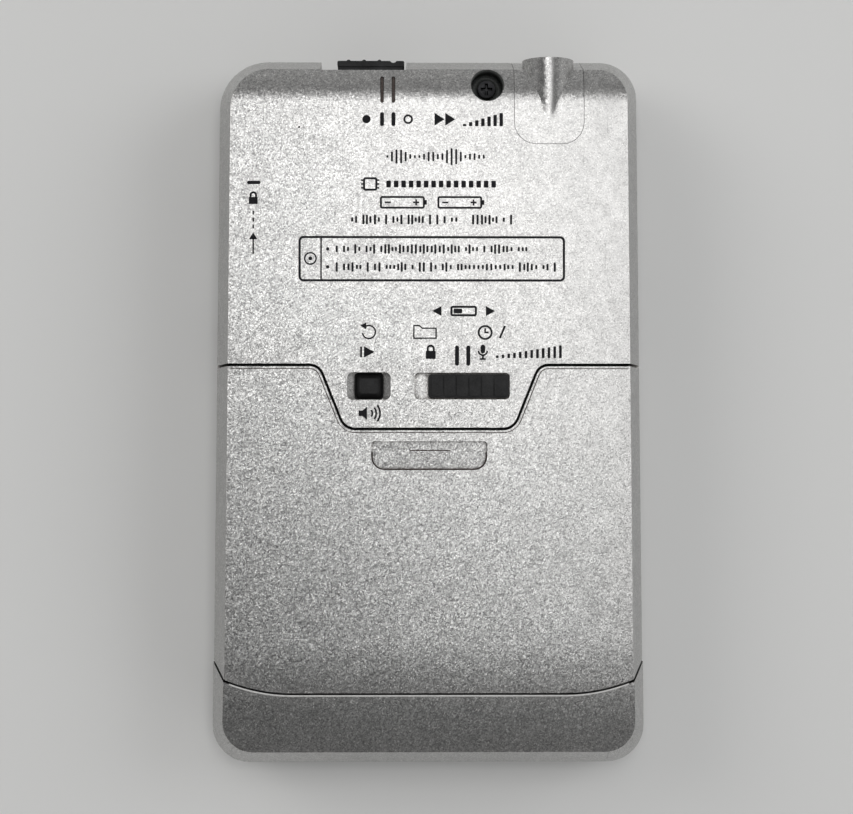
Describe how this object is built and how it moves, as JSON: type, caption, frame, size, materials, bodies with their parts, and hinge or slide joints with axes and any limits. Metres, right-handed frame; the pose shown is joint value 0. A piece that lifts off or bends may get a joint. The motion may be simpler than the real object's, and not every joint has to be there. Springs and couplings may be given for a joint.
{
  "type": "pocket voice recorder",
  "caption": "Slim silver pocket voice recorder lying face down: sliding battery door with end cap, slide switches, keys, volume wheel, microphone boss.",
  "frame": {"origin": "on the surface it lies on, under the middle of the whole box", "axes": "+Z out of the rear face, +Y towards the microphone end, +X to the right looking at the rear face"},
  "size_m": [0.0576, 0.0936, 0.0147],
  "materials": {
    "silver_paint": "silver metallic paint with coarse flake on moulded plastic",
    "black_plastic": "moulded black, fine texture",
    "black_rubber": "soft matt",
    "steel": "plain stamped",
    "red_plastic": "satin",
    "switch_plastic": "moulded",
    "clear_plastic": "clear acrylic",
    "lcd_glass": "grey-green display",
    "pink_rubber": "layered conductive rubber",
    "white_plastic": "moulded",
    "red_clear": "clear red lamp",
    "green_board": "solder resist",
    "chip_black": "epoxy package",
    "capacitor_can": "can with a sleeve",
    "cone_film": "treated paper",
    "magnet_steel": "plated",
    "cell_jacket": "printed metal jacket",
    "spring_steel": "nickel plated",
    "black_steel": "black oxide"
  },
  "bodies": {
    "case": {"front_shell": "silver_paint", "rear_shell": "silver_paint", "mic_housing": "silver_paint", "mic_grille": "black_plastic", "mic_boot": "black_rubber", "mic_capsule": "steel", "speed_switch": "steel", "mode_switch": "steel", "hold_switch": "steel", "tact_switches": "switch_plastic", "volume_control": "steel", "earphone_jack": "black_plastic", "microphone_jack": "black_plastic", "lcd_window": "clear_plastic", "lcd_module": "lcd_glass", "lcd_connectors": "pink_rubber", "lcd_holder": "white_plastic", "record_lamp": "red_clear", "main_board": "green_board", "processor_chip": "chip_black", "memory_chips": "chip_black", "capacitors": "capacitor_can", "crystal_can": "steel", "speaker_frame": "steel", "speaker_cone": "cone_film", "speaker_magnet": "magnet_steel", "speaker_gasket": "black_rubber", "battery_frame": "black_plastic", "battery_left": "cell_jacket", "battery_right": "cell_jacket", "positive_contact": "spring_steel", "negative_spring": "spring_steel", "link_contact": "spring_steel", "link_spring": "spring_steel", "rear_screw": "black_steel", "board_screws": "steel"},
    "door": {"battery_cover": "silver_paint", "end_cap": "silver_paint"},
    "speed_slide": {"speed_knob": "black_plastic"},
    "mode_slide": {"mode_knob": "black_plastic"},
    "hold_slide": {"hold_knob": "black_plastic"},
    "replay_key": {"replay_button": "black_plastic"},
    "record_key": {"record_button": "red_plastic"},
    "play_key": {"play_button": "black_plastic"},
    "stop_key": {"stop_button": "black_plastic"},
    "back_key": {"back_button": "black_plastic"},
    "forward_key": {"forward_button": "black_plastic"},
    "erase_key": {"erase_button": "black_plastic"},
    "volume_dial": {"volume_wheel": "black_plastic"}
  },
  "joints": [
    {"name": "door_slide", "type": "slide", "parent": "case", "child": "door", "axis": [0, -1, 0], "range_m": [0, 0.054]},
    {"name": "speed_slide", "type": "slide", "parent": "case", "child": "speed_slide", "axis": [-1, 0, 0], "range_m": [0, 0.002]},
    {"name": "mode_slide", "type": "slide", "parent": "case", "child": "mode_slide", "axis": [-1, 0, 0], "range_m": [0, 0.0017]},
    {"name": "hold_slide", "type": "slide", "parent": "case", "child": "hold_slide", "axis": [0, 1, 0], "range_m": [0, 0.002]},
    {"name": "replay_press", "type": "slide", "parent": "case", "child": "replay_key", "axis": [0, 0, -1], "range_m": [0, 0.0005], "stiffness_N_per_m": 600},
    {"name": "record_press", "type": "slide", "parent": "case", "child": "record_key", "axis": [0, 0, 1], "range_m": [0, 0.0005], "stiffness_N_per_m": 600},
    {"name": "play_press", "type": "slide", "parent": "case", "child": "play_key", "axis": [0, 0, 1], "range_m": [0, 0.0005], "stiffness_N_per_m": 600},
    {"name": "stop_press", "type": "slide", "parent": "case", "child": "stop_key", "axis": [0, 0, 1], "range_m": [0, 0.0005], "stiffness_N_per_m": 600},
    {"name": "back_press", "type": "slide", "parent": "case", "child": "back_key", "axis": [0, 0, 1], "range_m": [0, 0.0005], "stiffness_N_per_m": 600},
    {"name": "forward_press", "type": "slide", "parent": "case", "child": "forward_key", "axis": [0, 0, 1], "range_m": [0, 0.0005], "stiffness_N_per_m": 600},
    {"name": "erase_press", "type": "slide", "parent": "case", "child": "erase_key", "axis": [0, 0, 1], "range_m": [0, 0.0005], "stiffness_N_per_m": 600},
    {"name": "volume_turn", "type": "hinge", "parent": "case", "child": "volume_dial", "pos_m": [-0.0214, 0.011, 0.0042], "axis": [0, 0, 1], "range_deg": [0, 260]}
  ]
}
